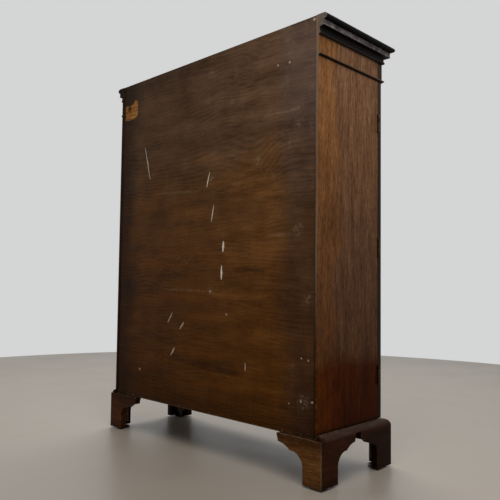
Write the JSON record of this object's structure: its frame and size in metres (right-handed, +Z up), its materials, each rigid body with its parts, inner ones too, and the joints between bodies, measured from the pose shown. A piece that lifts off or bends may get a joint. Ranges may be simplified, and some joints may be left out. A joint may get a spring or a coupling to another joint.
{
  "type": "display cabinet",
  "caption": "Free-standing oak display cabinet with a moulded cornice, glazed doors on butt hinges, shelves and bracket feet; the doors swing open, bolt and lock with a key.",
  "frame": {"origin": "on the floor, in the middle of the cabinet's box", "axes": "+Z up, the doors face -Y, +X to the right as seen from the front"},
  "size_m": [0.953, 0.338, 1.22],
  "materials": {
    "polished_oak": "polished, brown, with the grain upright",
    "dark_moulding": "polished, near black brown",
    "inner_oak": "matt, brown",
    "stained_plywood": "stained, matt and worn, with the grain level",
    "glue_block": "rough sawn, dusty",
    "glass": "clear",
    "brass": "aged, satin",
    "steel": "dull"
  },
  "bodies": {
    "carcass": {"side_left": "polished_oak", "side_right": "polished_oak", "top_board": "polished_oak", "frieze_rail": "polished_oak", "bottom_board": "inner_oak", "shelf_lower": "inner_oak", "shelf_upper": "inner_oak", "back_panel": "stained_plywood", "cornice_front": "dark_moulding", "cornice_left": "dark_moulding", "cornice_right": "dark_moulding", "bead_front": "dark_moulding", "bead_left": "dark_moulding", "bead_right": "dark_moulding", "plinth_front": "dark_moulding", "plinth_left": "dark_moulding", "plinth_right": "dark_moulding", "back_bracket_left": "polished_oak", "back_bracket_right": "polished_oak", "corner_block_front_left": "glue_block", "corner_block_front_right": "glue_block", "corner_block_rear_left": "glue_block", "corner_block_rear_right": "glue_block", "glide_front_left": "steel", "glide_front_right": "steel", "glide_rear_left": "steel", "glide_rear_right": "steel", "left_hinge_top_case_leaf": "brass", "left_hinge_middle_case_leaf": "brass", "left_hinge_bottom_case_leaf": "brass", "right_hinge_top_case_leaf": "brass", "right_hinge_middle_case_leaf": "brass", "right_hinge_bottom_case_leaf": "brass"},
    "left_door": {"left_hinge_stile": "polished_oak", "left_meeting_stile": "polished_oak", "left_top_rail": "polished_oak", "left_bottom_rail": "polished_oak", "left_bar_lower": "polished_oak", "left_bar_upper": "polished_oak", "left_glass": "glass", "left_hinge_top_door_leaf": "brass", "left_hinge_middle_door_leaf": "brass", "left_hinge_bottom_door_leaf": "brass", "left_bolt_guide": "brass"},
    "left_bolt": {"left_bolt": "brass"},
    "right_door": {"right_hinge_stile": "polished_oak", "right_meeting_stile": "polished_oak", "right_top_rail": "polished_oak", "right_bottom_rail": "polished_oak", "right_bar_lower": "polished_oak", "right_bar_upper": "polished_oak", "right_glass": "glass", "right_hinge_top_door_leaf": "brass", "right_hinge_middle_door_leaf": "brass", "right_hinge_bottom_door_leaf": "brass", "lock_case": "steel", "escutcheon": "brass"},
    "lock_bolt": {"lock_bolt": "brass"},
    "key": {"key": "brass"}
  },
  "joints": [
    {"name": "left_door_swing", "type": "hinge", "parent": "carcass", "child": "left_door", "pos_m": [-0.4515, -0.1195, 0.62225], "axis": [0, 0, -1], "range_deg": [0, 170]},
    {"name": "right_door_swing", "type": "hinge", "parent": "carcass", "child": "right_door", "pos_m": [0.4515, -0.1195, 0.62225], "axis": [0, 0, 1], "range_deg": [0, 170]},
    {"name": "left_bolt_slide", "type": "slide", "parent": "left_door", "child": "left_bolt", "axis": [0, 0, 1], "range_m": [0, 0.012]},
    {"name": "key_turn", "type": "hinge", "parent": "right_door", "child": "key", "pos_m": [0.023, -0.136, 0.61225], "axis": [0, 1, 0], "range_deg": [0, 180]},
    {"name": "lock_bolt_slide", "type": "slide", "parent": "right_door", "child": "lock_bolt", "axis": [-1, 0, 0], "range_m": [0, 0.012]}
  ],
  "couplings": [
    {"joint": "lock_bolt_slide", "follows": "key_turn", "m_per_rad": 0.0038}
  ]
}
